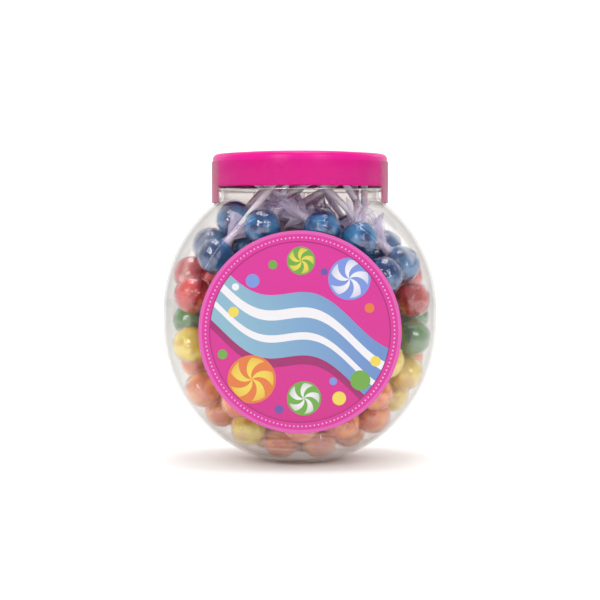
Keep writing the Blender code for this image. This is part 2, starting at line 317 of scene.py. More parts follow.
def ball_with_panels(radius, depth, edge_round, seam=0.0, steps=128):
    """A ball cut flat at both panels, with rounded panel edges, and drawn apart by the jar's straight side.
    Where the mould's halves meet, a fine seam runs round it."""
    centre_r = math.sqrt((radius - edge_round) ** 2 - (depth - edge_round) ** 2)
    centre_h = depth - edge_round
    tangent = math.degrees(math.atan2(centre_h, centre_r))
    profile = [(0.0, depth)]
    profile += arc(centre_r, centre_h, edge_round, 90, tangent, EDGE_PIECES)
    profile += arc(0.0, 0.0, radius, tangent, SEAM_HALF_ANGLE, HALF_BODY_PIECES)[1:] + [(radius + seam, 0.0)]
    profile += arc(0.0, 0.0, radius, -SEAM_HALF_ANGLE, -tangent, HALF_BODY_PIECES)[:-1]
    profile += arc(centre_r, -centre_h, edge_round, -tangent, -90, EDGE_PIECES)
    profile.append((0.0, -depth))
    form = turned(profile, steps)
    turn = Matrix.Rotation(math.pi / 2, 3, "X") @ Matrix.Rotation(math.pi / steps, 3, "Z")
    bmesh.ops.rotate(form, cent=(0, 0, 0), matrix=turn, verts=form.verts)
    for vertex in form.verts:
        vertex.co.z += LOWER_CENTRE if vertex.co.z < 0 else UPPER_CENTRE
    return form


def panel_disc(radius, near, far, segments=96):
    """A round disc on the front or the back panel, from one depth to another."""
    form = bmesh.new()
    place = Matrix.Translation((0, (near + far) / 2, LOWER_CENTRE)) @ Matrix.Rotation(math.pi / 2, 4, "X")
    size = {"radius1": radius, "radius2": radius, "depth": abs(far - near), "segments": segments}
    bmesh.ops.create_cone(form, cap_ends=True, matrix=place, **size)
    return form


def block_below(top):
    """A large block to cut with, from this height down."""
    form = bmesh.new()
    bmesh.ops.create_cube(form, size=BEYOND, matrix=Matrix.Translation((0, 0, top - BEYOND / 2)))
    return form


def combine(obj, other, operation):
    """The object joined with, or cut by, another form."""
    tool = mesh_object("tool", other)
    modifier = obj.modifiers.new(operation, "BOOLEAN")
    modifier.operation = operation
    modifier.object = tool
    graph = bpy.context.evaluated_depsgraph_get()
    obj.data = bpy.data.meshes.new_from_object(obj.evaluated_get(graph))
    obj.modifiers.clear()
    bpy.data.objects.remove(tool)


neck_profile = [(0.0, NECK_TOP), (NECK_RADIUS - NECK_EDGE, NECK_TOP), (NECK_RADIUS, NECK_TOP - NECK_EDGE)]
neck_profile += [(NECK_RADIUS, BEAD_HEIGHT + BEAD_SPREAD)]
neck_profile += arc(BEAD_RADIUS - BEAD_ROUND, BEAD_HEIGHT, BEAD_ROUND, 80, -80, EDGE_PIECES)
neck_profile += [(NECK_RADIUS, BEAD_HEIGHT - BEAD_SPREAD), (NECK_RADIUS, NECK_ROOT_TOP + NECK_FILLET)]
neck_profile += [(NECK_RADIUS + NECK_EDGE, NECK_ROOT_TOP + 0.45 * NECK_FILLET)]
neck_profile += [(NECK_ROOT_RADIUS - 0.75 * NECK_EDGE, NECK_ROOT_TOP)]
neck_profile += [(NECK_ROOT_RADIUS, NECK_ROOT_TOP - 2 * NECK_EDGE)]
neck_profile += [(NECK_ROOT_RADIUS, NECK_ROOT_TOP - NECK_ROOT_DEPTH)]
neck_profile += [(0.0, NECK_ROOT_TOP - NECK_ROOT_DEPTH)]
dimple_profile = [(0.0, DIMPLE_DEPTH), (0.6 * DIMPLE_RADIUS, 0.85 * DIMPLE_DEPTH), (DIMPLE_RADIUS, 0.0)]
dimple_profile += [(DIMPLE_RADIUS, -OVERCUT), (0.0, -OVERCUT)]
bore_profile = [(0.0, NECK_TOP + OVERCUT), (NECK_BORE, NECK_TOP + OVERCUT)]
bore_profile += [(NECK_BORE, NECK_TOP - BORE_DEPTH), (0.0, NECK_TOP - BORE_DEPTH)]
recess_floor = PANEL_DEPTH - RECESS_DEPTH

jar = mesh_object("jar_outside", ball_with_panels(BODY_RADIUS, PANEL_DEPTH, PANEL_EDGE_ROUND, SEAM_RISE))
combine(jar, turned(neck_profile), "UNION")
combine(jar, block_below(0.0), "DIFFERENCE")
combine(jar, turned(dimple_profile, 48), "DIFFERENCE")
for side in (-1, 1):
    recess = panel_disc(RECESS_RADIUS, side * recess_floor, side * (PANEL_DEPTH + OVERCUT))
    combine(jar, recess, "DIFFERENCE")
inner_ball = ball_with_panels(BODY_RADIUS - WALL, recess_floor - WALL, PANEL_EDGE_ROUND - WALL)
cavity = mesh_object("cavity", inner_ball)
combine(cavity, block_below(FLOOR_TOP), "DIFFERENCE")
combine(cavity, turned(bore_profile), "UNION")
hollow = bmesh.new()
hollow.from_mesh(cavity.data)
bpy.data.objects.remove(cavity)
combine(jar, hollow, "DIFFERENCE")
jar_form = bmesh.new()
jar_form.from_mesh(jar.data)
bpy.data.objects.remove(jar)
bmesh.ops.remove_doubles(jar_form, verts=jar_form.verts, dist=SAME_POINT)
bmesh.ops.dissolve_degenerate(jar_form, edges=jar_form.edges, dist=SAME_POINT)

FACE_SHINE = 0.040
EDGE_SHINE = 0.75
BEAD_SHINE = 0.60
FOOT_STREAKS_TOP = 0.0240
FOOT_PAINTED_LIGHT = 0.26
clear_plastic = Finish("clear_plastic")
jar_edge = clear_plastic.grazing()
jar_ripple = clear_plastic.bump(clear_plastic.noise(26.0, 1.0), 0.0004, 0.35)
jar_gloss = clear_plastic.principled(tone(194, 192, 190), 0.04, Metallic=1.0, Normal=jar_ripple)
jar_spot = clear_plastic.place()
jar_x, jar_y, jar_z = (clear_plastic.axis(jar_spot, name) for name in "XYZ")
outside_neck = (jar_x * jar_x + jar_y * jar_y) ** 0.5 > NECK_RADIUS + NECK_EDGE
on_bead = outside_neck * (jar_z > BEAD_HEIGHT - BEAD_ROUND) * (jar_z < BEAD_HEIGHT + 0.2 * BEAD_ROUND)
foot_waves = clear_plastic.noise(50.0, 3.0, (1.0, 1.0, 12.0))
foot_streaks = clear_plastic.remap(foot_waves, 0.42, 0.60, 0.1, 1.0)
near_foot = clear_plastic.remap(jar_z, FOOT_STREAKS_TOP, FLOOR_TOP)
# Painted light: a pale surface mixed into the foot in streaks, where the thick plastic would bend the light.
painted_streaks = clear_plastic.principled(tone(250, 236, 230), 0.30)
jar_shine = FACE_SHINE + EDGE_SHINE * jar_edge ** 4.0 + BEAD_SHINE * on_bead
clear_skin = clear_plastic.see_through(jar_shine, tone(250, 249, 248), jar_gloss)
painted_streak_mix = {0: FOOT_PAINTED_LIGHT * (near_foot * foot_streaks), 1: clear_skin, 2: painted_streaks}
jar_skin = clear_plastic.add("ShaderNodeMixShader", {}, painted_streak_mix)
piece("jar_shell", jar_form, clear_plastic.done(jar_skin), ("jar",))


# Lollipops
# Nearly 140 balls of boiled sweet on white sticks, each in its own film, tipped in one colour after
# another, orange at the bottom and blue on top. This section lays them in the jar. The balls along the
# wall lie where the CAD heap has them.
BALL_RADIUS = 0.0093
STICK_LENGTH = 0.0510
HEAP_TOP = 0.1215
HEAP_MIDDLE = -0.0100
HEAP_FLAT = 0.0186
HEAP_SLOPE = 0.30
TOP_BALL_LIFT = 0.0035
TOP_RINGS = ((0.0, 1), (0.0205, 6))
TOP_RING_TURN = 0.3
ROW_SPACING = 0.0184
BALL_SPACING = 0.0222
UNEVENNESS = 0.0016
FIRST_SPACING = 1.5 * BALL_RADIUS
PUSH_ROUNDS = 120
SEED = 11
GAP = 0.0003
WALL_CLEARANCE = 0.0008
WRAPPER_CLEARANCE = 0.0024
CAD_BODY_RADIUS = 0.0722
CAD_PANEL_DEPTH = 0.0480
LABEL_RADIUS = 0.0505
ROOM_RADIUS = CAD_BODY_RADIUS - WALL - BALL_RADIUS - WALL_CLEARANCE
ROOM_DEPTH = CAD_PANEL_DEPTH - RECESS_DEPTH - WALL - BALL_RADIUS - GAP
ROW_RADIUS = ROOM_RADIUS - WRAPPER_CLEARANCE
ROOM_FLOOR = FLOOR_TOP + BALL_RADIUS + GAP

# Balls that show round the label: across and height, and the depth of those that don't touch the wall.
FRONT_BALLS = (
    ("blue", -0.0425, 0.1073),
    ("blue", -0.0335, 0.1262),
    ("blue", -0.0240, 0.1095, -0.0190),
    ("blue", -0.0189, 0.1224),
    ("red", -0.0050, 0.1115, -0.0200),
    ("blue", 0.0110, 0.1214),
    ("blue", 0.0300, 0.1160),
    ("blue", 0.0360, 0.1095, -0.0110),
    ("blue", 0.0520, 0.1030),
    ("red", -0.0570, 0.0975, 0.0000),
    ("red", -0.0548, 0.0878),
    ("green", -0.0572, 0.0735, -0.0050),
    ("yellow", -0.0560, 0.0621),
    ("orange", -0.0536, 0.0520, 0.0020),
    ("orange", -0.0500, 0.0385),
    ("orange", -0.0410, 0.0262, -0.0010),
    ("yellow", -0.0264, 0.0189),
    ("orange", -0.0096, 0.0121),
    ("orange", 0.0096, 0.0121),
    ("orange", 0.0250, 0.0165, -0.0050),
    ("orange", 0.0375, 0.0250),
    ("yellow", 0.0480, 0.0345, 0.0000),
    ("yellow", 0.0545, 0.0470, -0.0140),
    ("green", 0.0579, 0.0655),
    ("red", 0.0578, 0.0850),
)

# Sticks that stand up into the neck: where each starts in the heap, and the way that it points.
NECK_STICKS = (
    ((-0.0425, -0.0325, 0.1073), (0.62, 0.10, 0.78)),
    ((0.0520, -0.0200, 0.1030), (-0.70, -0.06, 0.71)),
    ((0.0335, -0.0060, 0.0940), (0.00, 0.00, 1.00)),
    ((0.0100, 0.0300, 0.0980), (-0.25, -0.35, 0.90)),
    ((-0.0200, 0.0200, 0.0950), (0.15, -0.15, 0.98)),
    ((0.0400, 0.0250, 0.1020), (-0.55, -0.25, 0.80)),
)


def middle_height(height):
    """The height of the body's centre for this height: its upper half's, its lower half's or between."""
    return min(max(height, LOWER_CENTRE), UPPER_CENTRE)


def forward_place(across, height):
    """The foremost depth for a ball's centre at this place."""
    room = ROOM_RADIUS**2 - across**2 - (height - middle_height(height)) ** 2
    return -min(math.sqrt(max(room, 0.0)), ROOM_DEPTH)


def heap_height(across, depth):
    """The height of the heap here: flat in its middle, which is off the jar's, and falling all round."""
    return HEAP_TOP - HEAP_SLOPE * max(math.sqrt((across - HEAP_MIDDLE) ** 2 + depth**2) - HEAP_FLAT, 0.0)


def in_room(place):
    """The nearest place to this one inside the jar and no higher than the heap."""
    x, y, z = place
    y = min(max(y, -ROOM_DEPTH), ROOM_DEPTH)
    z = min(max(z, ROOM_FLOOR), heap_height(x, y) + TOP_BALL_LIFT)
    middle = middle_height(z)
    distance = math.sqrt(x * x + y * y + (z - middle) ** 2)
    shrink = min(ROW_RADIUS / max(distance, GAP), 1.0)
    return x * shrink, y * shrink, middle + (z - middle) * shrink


def row_places(height, reach, turn):
    """Places along the wall at one height, evenly round the circle and along its two panels."""
    half_chord = math.sqrt(max(reach**2 - ROOM_DEPTH**2, 0.0))
    half_arc = math.asin(min(ROOM_DEPTH / reach, 1.0))
    half_way = 2 * half_arc * reach + 2 * half_chord
    count = max(1, int(2 * half_way / BALL_SPACING))
    places = []
    for i in range(count):
        along = (i + turn) / count * 2 * half_way
        side = 1 if along < half_way else -1
        along %= half_way
        if along < 2 * half_arc * reach:
            angle = along / reach - half_arc
            places.append((side * reach * math.cos(angle), side * reach * math.sin(angle), height))
        else:
            across = half_chord - (along - 2 * half_arc * reach)
            places.append((side * across, side * min(ROOM_DEPTH, reach), height))
    return places


def wanted_places():
    """The rows of balls along the wall from the floor up, and the balls that close the heap's top."""
    places = []
    row_angle = ROW_SPACING / ROW_RADIUS
    for row in range(int(math.pi / row_angle)):
        polar = row * row_angle
        middle = LOWER_CENTRE if polar < math.pi / 2 else UPPER_CENTRE
        height = max(middle - ROW_RADIUS * math.cos(polar), ROOM_FLOOR)
        places += row_places(height, ROW_RADIUS * max(math.sin(polar), GAP), (row % 2) / 2)
    for ring_radius, count in TOP_RINGS:
        for i in range(count):
            angle = math.tau * (i + TOP_RING_TURN) / count
            places.append((ring_radius * math.cos(angle), ring_radius * math.sin(angle), HEAP_TOP))
    return places


def shows(place):
    """Whether a ball here is seen from some side: the ones just behind the label aren't."""
    x, y, z = place
    return y > -ROOM_DEPTH / 2 or math.hypot(x, z - LOWER_CENTRE) > LABEL_RADIUS - BALL_RADIUS


def ball_places():
    """The balls' centres: the front ones stay put, and the rows along the wall are pushed apart."""
    draw = random.Random(SEED)
    places = [(x, depth[0] if depth else forward_place(x, z), z) for _, x, z, *depth in FRONT_BALLS]
    held = len(places)
    for place in wanted_places():
        place = [round(value + draw.uniform(-UNEVENNESS, UNEVENNESS), 6) for value in place]
        free = all(math.dist(place, other) > FIRST_SPACING for other in places)
        if free and shows(place) and place[2] < HEAP_TOP + BALL_RADIUS:
            places.append(in_room(place))
    for _ in range(PUSH_ROUNDS):
        for i in range(held, len(places)):
            push = [0.0, 0.0, 0.0]
            for j, other in enumerate(places):
                apart = [a - b for a, b in zip(places[i], other)]
                distance = math.sqrt(apart[0] ** 2 + apart[1] ** 2 + apart[2] ** 2)
                if j != i and distance < 2 * BALL_RADIUS + GAP:
                    share = 0.5 * (2 * BALL_RADIUS + GAP - distance) / distance
                    push = [p + share * a for p, a in zip(push, apart)]
            places[i] = in_room([a + b for a, b in zip(places[i], push)])
    return [tuple(round(value, 6) for value in place) for place in places]


draw = random.Random(SEED)
places = [Vector(place) for place in ball_places()]

# The balls further in: of many places drawn at random each free one is taken, the outermost first.
FILL_DRAWS = 7000
SECOND_LAYER = 0.0090
TOP_LAYER = 0.0060
FILL_SPACING = 1.94 * BALL_RADIUS


def wall_room(x, y, z):
    """How far the place lies inside the outermost balls' centres."""
    return min(ROW_RADIUS - math.dist((x, y, z), (0, 0, middle_height(z))), ROOM_DEPTH - abs(y))


fill_places = []
for _ in range(FILL_DRAWS):
    x, y = draw.uniform(-ROW_RADIUS, ROW_RADIUS), draw.uniform(-ROOM_DEPTH, ROOM_DEPTH)
    z = draw.uniform(ROOM_FLOOR, HEAP_TOP)
    depth = wall_room(x, y, z)
    needed = SECOND_LAYER if shows((x, y, z)) else 0.0
    if depth > needed and z < heap_height(x, y) - TOP_LAYER:
        fill_places.append((round(depth, 4), x, y, z))
for _, *at in sorted(fill_places):
    if all(math.dist(at, other) > FILL_SPACING for other in places):
        places.append(Vector(at))


COLOUR_TOPS = ((0.050, "orange"), (0.072, "yellow"), (0.082, "green"), (0.104, "red"))
COLOUR_MIXING = 0.012


def colour_at(height):
    """Which colour lies at this height: each was tipped in after the last, and they mixed a little."""
    level = height + draw.uniform(-COLOUR_MIXING, COLOUR_MIXING)
    for top, name in COLOUR_TOPS:
        if level < top:
            return name
    return "blue"


# The topmost balls' sticks end in the neck, each at its own height and off the neck's wall.
NECK_STICK_HEIGHT = 0.1100
TIP_LOW, TIP_HIGH = 0.1340, 0.1530
TIP_ROOM = 0.0350
NECK_TRIES = 120
neck_draw = random.Random(SEED + 1)


def side_room(place, way, others):
    """How far off the nearest of the other balls' centres a stick passes."""
    return min(((other - place) - way * max((other - place).dot(way), 0.0)).length for other in others)


def neck_way(place, others):
    """The way of a stick that ends in the neck, clear of the other balls as far as one is found."""
    best, best_room = None, -1.0
    for _ in range(NECK_TRIES):
        rise = neck_draw.uniform(TIP_LOW, TIP_HIGH) - place.z
        run = math.sqrt((BALL_RADIUS + STICK_LENGTH) ** 2 - rise**2)
        heading = neck_draw.uniform(0, math.tau)
        way = Vector((run * math.cos(heading), run * math.sin(heading), rise))
        tip = place + way
        way.normalize()
        room = side_room(place, way, others)
        if room > best_room and math.hypot(tip.x, tip.y) < TIP_ROOM:
            best, best_room = way, room
    return best


STICK_TRIES = 30
AIM_ACROSS, AIM_DEPTH = 0.035, 0.030
AIM_LOW, AIM_HIGH = 0.035, 0.100


def stick_way(place, others):
    """The way of a stick that ends inside the heap, clear of the other balls as far as one is found."""
    best, best_room = Vector((0, 0, 1)), -1.0
    for _ in range(STICK_TRIES):
        across, depth = draw.uniform(-AIM_ACROSS, AIM_ACROSS), draw.uniform(-AIM_DEPTH, AIM_DEPTH)
        way = (Vector((across, depth, draw.uniform(AIM_LOW, AIM_HIGH))) - place).normalized()
        tip = place + way * (BALL_RADIUS + STICK_LENGTH)
        room = side_room(place, way, others) - (Vector(in_room(tip)) - tip).length
        if room > best_room:
            best, best_room = way, room
    return best


SAME_PLACE = 0.003
SMALLEST, LARGEST = 0.97, 1.02
lollipops = []
for i, place in enumerate(places):
    colour = FRONT_BALLS[i][0] if i < len(FRONT_BALLS) else colour_at(place.z)
    others = [other for other in places if (other - place).length > GAP]
    way = stick_way(place, others)
    if place.z > NECK_STICK_HEIGHT:
        way = neck_way(place, others) or way
    for start, shown_way in NECK_STICKS:
        if (Vector(start) - place).length < SAME_PLACE:
            way = Vector(shown_way).normalized()
    spin, size = draw.uniform(0, math.tau), draw.uniform(SMALLEST, LARGEST)
    lollipops.append((place, colour, way, spin, size))


# Balls
# The sweets, of boiled sugar with a cloudy colour all through. Each was pressed round its stick while hot,
# in a two-part mould that leaves a fine seam round the middle. Each colour is one joined mesh of copies.
def scattered(prototypes, matrices):
    """One form with a copy of a prototype mesh, each in turn, at each place."""
    joined = bmesh.new()
    for i, matrix in enumerate(matrices):
        copy = prototypes[i % len(prototypes)].copy()
        copy.transform(matrix)
        joined.from_mesh(copy)
        bpy.data.meshes.remove(copy)
    return joined


def as_mesh(form):
    """A mesh to copy from, of a form, which is used up."""
    mesh = bpy.data.meshes.new("prototype")
    form.to_mesh(mesh)
    form.free()
    return mesh


def along(place, way, spin=0.0, size=1.0):
    """The matrix that sets an upright thing at a place, pointing a way."""
    turn = way.to_track_quat("Z", "Y").to_matrix().to_4x4()
    return Matrix.Translation(place) @ turn @ Matrix.Rotation(spin, 4, "Z") @ Matrix.Scale(size, 4)


SEAM_HEIGHT = 0.0002
SEAM_HALF_WIDTH = 3.0
HALF_BALL_PIECES = 8
BALL_STEPS = 24
ball_profile = arc(0.0, 0.0, BALL_RADIUS, 90, SEAM_HALF_WIDTH, HALF_BALL_PIECES)
ball_profile += [(BALL_RADIUS + SEAM_HEIGHT, 0.0)]
ball_profile += arc(0.0, 0.0, BALL_RADIUS, -SEAM_HALF_WIDTH, -90, HALF_BALL_PIECES)
ball_profile[0], ball_profile[-1] = (0.0, BALL_RADIUS), (0.0, -BALL_RADIUS)
ball_mesh = as_mesh(turned(ball_profile, BALL_STEPS))

CANDY = {
    "blue": (tone(0, 52, 118), tone(36, 126, 186)),
    "red": (tone(182, 14, 26), tone(240, 72, 74)),
    "green": (tone(16, 90, 20), tone(74, 152, 46)),
    "yellow": (tone(224, 180, 8), tone(250, 228, 58)),
    "orange": (tone(224, 98, 16), tone(250, 158, 62)),
}
for colour_name, (deep, bright) in CANDY.items():
    candy = Finish("candy_" + colour_name)
    clouds = candy.remap(candy.noise(130.0), 0.40, 0.62)
    grain = candy.noise(480.0, 3.0)
    boiled = candy.principled(
        candy.blend(clouds, deep, bright),
        0.10 + 0.25 * grain,
        Normal=candy.bump(grain, 0.0002, 0.3),
        Coat_Weight=1.0,
        Coat_Roughness=0.04,
        Subsurface_Weight=0.35,
        Subsurface_Scale=0.004,
    )
    spots = [along(at, way, spin, size) for at, name, way, spin, size in lollipops if name == colour_name]
    balls = scattered([ball_mesh], spots)
    piece("balls_" + colour_name, balls, candy.done(boiled), ("lollipops",), 50)


# Sticks
# Thin white plastic tubes, cut to length, each sunk a little way into its ball. The CAD heap's sticks in
# the neck are among them, also where no ball lies at their foot.
STICK_RADIUS = 0.00175
STICK_SUNK = 0.0030
STICK_START = BALL_RADIUS - STICK_SUNK
STICK_END = BALL_RADIUS + STICK_LENGTH
STICK_EDGE = 0.0003
STICK_BORE = 0.0009
STICK_DIP = 0.0030
STICK_STEPS = 12
stick_profile = [(0.0, STICK_START), (STICK_RADIUS, STICK_START), (STICK_RADIUS, STICK_END - STICK_EDGE)]
stick_profile += [(STICK_RADIUS - STICK_EDGE, STICK_END), (STICK_BORE, STICK_END)]
stick_profile += [(STICK_BORE, STICK_END - STICK_DIP), (0.0, STICK_END - STICK_DIP)]
stick_mesh = as_mesh(turned(stick_profile, STICK_STEPS))
stick_spots = [along(at, way, spin) for at, _, way, spin, _ in lollipops]
for start, way in NECK_STICKS:
    if min((Vector(start) - place).length for place in places) > SAME_PLACE:
        stick_spots.append(along(Vector(start), Vector(way).normalized()))
# The sticks' colour runs at random between white and lilac; the lilac is painted pink light from the lid.
stick_white = Finish("stick_white")
stick_grain = stick_white.noise(600.0, 2.0, (1.0, 1.0, 0.2))
stick_surface = stick_white.principled(
    stick_white.blend(stick_grain, tone(232, 223, 248), tone(251, 246, 255)),
    0.35,
    Normal=stick_white.bump(stick_grain, 0.0001, 0.3),
    Subsurface_Weight=0.5,
    Subsurface_Scale=0.003,
)
sticks = scattered([stick_mesh], stick_spots)
piece("sticks", sticks, stick_white.done(stick_surface), ("lollipops",), 40)


# Wrappers
# Thin clear film round each ball, drawn up over it and pulled tight, with creases that run to the stick.
# Six creased forms are made and used in turn.
FILM_OFFSET = 0.00035
FILM_STEPS = 30
FILM_PIECES = 10
FILM_KINDS = 6
FILM_MOUTH = 74
FILM_CREASE, CREASE_SCALE = 0.10, 210
FILM_PLEAT, PLEAT_SCALE = 0.03, 120
KIND_SHIFT = 5.1
PLEATS = 9


def film_form(kind):
    """One way that the film has creased."""
    shell = BALL_RADIUS + FILM_OFFSET
    profile = arc(0.0, 0.0, shell, FILM_MOUTH, -90, FILM_PIECES)
    profile[-1] = (0.0, -shell)
    form = turned(profile, FILM_STEPS)
    for vertex in form.verts:
        around = math.atan2(vertex.co.y, vertex.co.x)
        near_stick = max(vertex.co.z / BALL_RADIUS, 0.0)
        crease = abs(noise.noise(vertex.co * CREASE_SCALE + Vector((0, kind * KIND_SHIFT, 0))))
        pleat = near_stick * math.sin(PLEATS * around + 3 * noise.noise(vertex.co * PLEAT_SCALE))
        vertex.co *= 1 + FILM_CREASE * crease + FILM_PLEAT * pleat
    return form


film_meshes = [as_mesh(film_form(kind)) for kind in range(FILM_KINDS)]
film_spots = [along(at, way, spin, size) for at, _, way, spin, size in lollipops]
wrapper_film = Finish("wrapper_film")
film_edge = wrapper_film.grazing()
film_wrinkle = wrapper_film.bump(wrapper_film.noise(420.0, 2.0), 0.0004, 0.6)
film_gloss = wrapper_film.principled(tone(248, 249, 251), 0.05, Metallic=1.0, Normal=film_wrinkle)
film_skin = wrapper_film.see_through(0.12 + 0.20 * film_edge ** 3, tone(253, 253, 254), film_gloss)
wrappers = scattered(film_meshes, film_spots)
piece("wrappers", wrappers, wrapper_film.done(film_skin), ("lollipops",), 0)


# Film twists
# The wrappers' ends, of the same film, gathered on the stick by a twist and flared past it in sharp pleats.
# So many layers lie on each other there that they look hazy, so they have a finish of their own. Its lilac
# tint is painted pink light from the lid.
GATHER_RADIUS = 0.0022
GATHER_SPREAD = 0.0004
GATHER_FOOT_RADIUS = 0.0036
GATHER_FOOT_SPREAD = 0.0006
FLARE_START = 0.0012
FLARE_RADIUS = 0.0066
FLARE_LENGTH = 0.0100
TWIST_HEIGHT = BALL_RADIUS + 0.0030
TWIST_STEPS = 36
TWIST_TURN = 0.9
TWIST_RISE = 0.0030
DEEP_PLEAT, WIDE_FOLD, WIDE_FOLDS = 0.50, 0.30, 4


def twist_form(kind):
    """One way that the film's end has been twisted."""
    profile = [(FLARE_RADIUS, TWIST_HEIGHT + FLARE_LENGTH)]
    profile += [(0.72 * FLARE_RADIUS, TWIST_HEIGHT + 0.6 * FLARE_LENGTH)]
    profile += [(GATHER_RADIUS + GATHER_SPREAD, TWIST_HEIGHT + FLARE_START), (GATHER_RADIUS, TWIST_HEIGHT)]
    profile += [(GATHER_RADIUS + GATHER_FOOT_SPREAD, BALL_RADIUS + GATHER_FOOT_SPREAD)]
    profile += [(GATHER_FOOT_RADIUS, BALL_RADIUS - GATHER_FOOT_SPREAD)]
    form = turned(profile, TWIST_STEPS)
    bmesh.ops.reverse_faces(form, faces=form.faces)
    for vertex in form.verts:
        x, y, z = vertex.co
        around = math.atan2(y, x)
        out = max(z - TWIST_HEIGHT, 0.0) / FLARE_LENGTH
        waves = DEEP_PLEAT * math.sin(PLEATS * around + 2.1 * kind)
        waves += WIDE_FOLD * math.sin(WIDE_FOLDS * around + 1.3 * kind)
        pleat = 1 + out * waves
        turn = TWIST_TURN * out
        x, y = x * math.cos(turn) - y * math.sin(turn), x * math.sin(turn) + y * math.cos(turn)
        vertex.co = (x * pleat, y * pleat, z + TWIST_RISE * out * math.sin(3 * around + kind))
    return form


twist_meshes = [as_mesh(twist_form(kind)) for kind in range(FILM_KINDS)]
twist_film = Finish("twist_film")
twist_edge = twist_film.grazing()
twist_wrinkle = twist_film.bump(twist_film.noise(500.0, 2.0), 0.0008, 0.8)
# The real haze of the layered film, with a lilac tone that is painted pink light from the lid.
haze_and_painted_lid_light = twist_film.principled(tone(228, 217, 247), 0.16, Normal=twist_wrinkle, Specular_IOR_Level=0.9)
twist_skin = twist_film.see_through(0.34 + 0.40 * twist_edge ** 2, tone(252, 252, 253), haze_and_painted_lid_light)
film_twists = scattered(twist_meshes, film_spots)
piece("film_twists", film_twists, twist_film.done(twist_skin), ("lollipops",), 0)


# Heap core
# Deep in the heap the sweets can't be told apart. A lumpy core in the colours that lie round it stands
# there, and closes the last gaps between the balls.
CORE_RADIUS = 0.0330
CORE_LUMPS, LUMP_SCALE = 0.22, 90
CORE_STRETCH = Vector((1.1, 0.75, 1.25))
core = bmesh.new()
bmesh.ops.create_icosphere(core, subdivisions=5, radius=CORE_RADIUS)
for vertex in core.verts:
    lumps = abs(noise.noise(vertex.co * LUMP_SCALE))
    vertex.co *= 1 + CORE_LUMPS * lumps
    vertex.co = vertex.co * CORE_STRETCH + Vector((0, 0, LOWER_CENTRE))
heap_core = Finish("heap_core")
core_level = heap_core.axis(heap_core.place(), "Z") * 8.0 + 0.25 * heap_core.noise(60.0)
core_stops = [(0.2, CANDY["orange"][0]), (0.45, CANDY["yellow"][0]), (0.62, CANDY["green"][0])]
core_stops += [(0.8, CANDY["red"][0]), (1.0, CANDY["blue"][0])]
core_tone = heap_core.add("ShaderNodeValToRGB", {"stops": core_stops}, {0: core_level})
piece("heap_core", core, heap_core.done(heap_core.principled(core_tone, 0.4)), ("lollipops",), 50)


# Label
# A round label of coated paper with a satin print, laid by machine in the front panel's recess.
# The print is plain: a magenta ground, a pale blue wave with white ribbons, pinwheel discs and dots. Near
# its edge lie a thin ring of painted shade and a pale band of painted highlight.
label_low, label_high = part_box("label")
LABEL_BACK, LABEL_FRONT = label_high[1], label_low[1]
LABEL_EDGE_ROUND = 0.00005
LABEL_STEPS = 160
label = panel_disc((label_high[0] - label_low[0]) / 2, LABEL_BACK, LABEL_FRONT, LABEL_STEPS)
label_middle = (LABEL_BACK + LABEL_FRONT) / 2
rim = [edge for edge in label.edges if all(vertex.co.y < label_middle for vertex in edge.verts)]
rounding = {"offset": LABEL_EDGE_ROUND, "segments": 2, "affect": "EDGES", "profile": 0.5, "material": -1}
bmesh.ops.bevel(label, geom=rim, **rounding)

INK_STRENGTH = 0.56


def ink(red, green, blue):
    """A printed colour, held back for the strong light in front of the label."""
    return (*(INK_STRENGTH * v for v in tone(red, green, blue)[:3]), 1.0)


MAGENTA = ink(232, 34, 164)
LOW_MAGENTA = ink(222, 14, 142)
DEEP_MAGENTA = ink(172, 6, 112)
PAINTED_RIM_HIGHLIGHT_PINK = ink(238, 92, 186)
DOT_PINK = ink(250, 210, 235)
PALE_BLUE = ink(146, 192, 214)
DEEP_BLUE = ink(110, 150, 214)
SKY_BLUE = ink(128, 156, 232)
LEAF_GREEN = ink(118, 180, 66)
SUN_YELLOW = ink(252, 226, 84)
WARM_ORANGE = ink(240, 128, 56)
VIOLET = ink(112, 84, 176)
PAPER_WHITE = ink(252, 249, 253)

label_print = Finish("label_print")
label_spot = label_print.place()
label_x = label_print.axis(label_spot, "X")
label_z = label_print.axis(label_spot, "Z") - LOWER_CENTRE


def sine(value):
    """The sine of a wire's value."""
    return value.maths("SINE", value, 0.0)


def from_point(x, z):
    """The distance on the label from a point of it."""
    across, up = label_x - x, label_z - z
    return (across * across + up * up) ** 0.5


WAVE_SLOPE = -0.42
WAVE_SWING = 0.0060
WAVE_RATE = 95.0
WAVE_START = 0.6
WAVE_BOTTOM, WAVE_TOP = -0.0150, 0.0165
WAVE_SHADOW = 0.0045
RIBBONS = ((0.0075, 0.0036), (-0.0045, 0.0026))
reach = from_point(0.0, 0.0)
printed = label_print.blend(label_z * 9.0 + 0.5, LOW_MAGENTA, MAGENTA)
wave_line = label_x * WAVE_SLOPE + WAVE_SWING * sine(label_x * WAVE_RATE + WAVE_START)
wave_rise = label_z - wave_line
in_wave = (wave_rise > WAVE_BOTTOM) * (wave_rise < WAVE_TOP)
under_wave = (wave_rise > WAVE_BOTTOM - WAVE_SHADOW) * (wave_rise < WAVE_BOTTOM)
wave_blue = label_print.blend(label_x * 14.0 + 0.45, PALE_BLUE, DEEP_BLUE)
printed = label_print.blend(in_wave, printed, wave_blue)
printed = label_print.blend(under_wave, printed, DEEP_MAGENTA)
for height, thickness in RIBBONS:
    ribbon = (wave_rise > height - thickness) * (wave_rise < height + 0.4 * thickness)
    printed = label_print.blend(ribbon, printed, PAPER_WHITE)

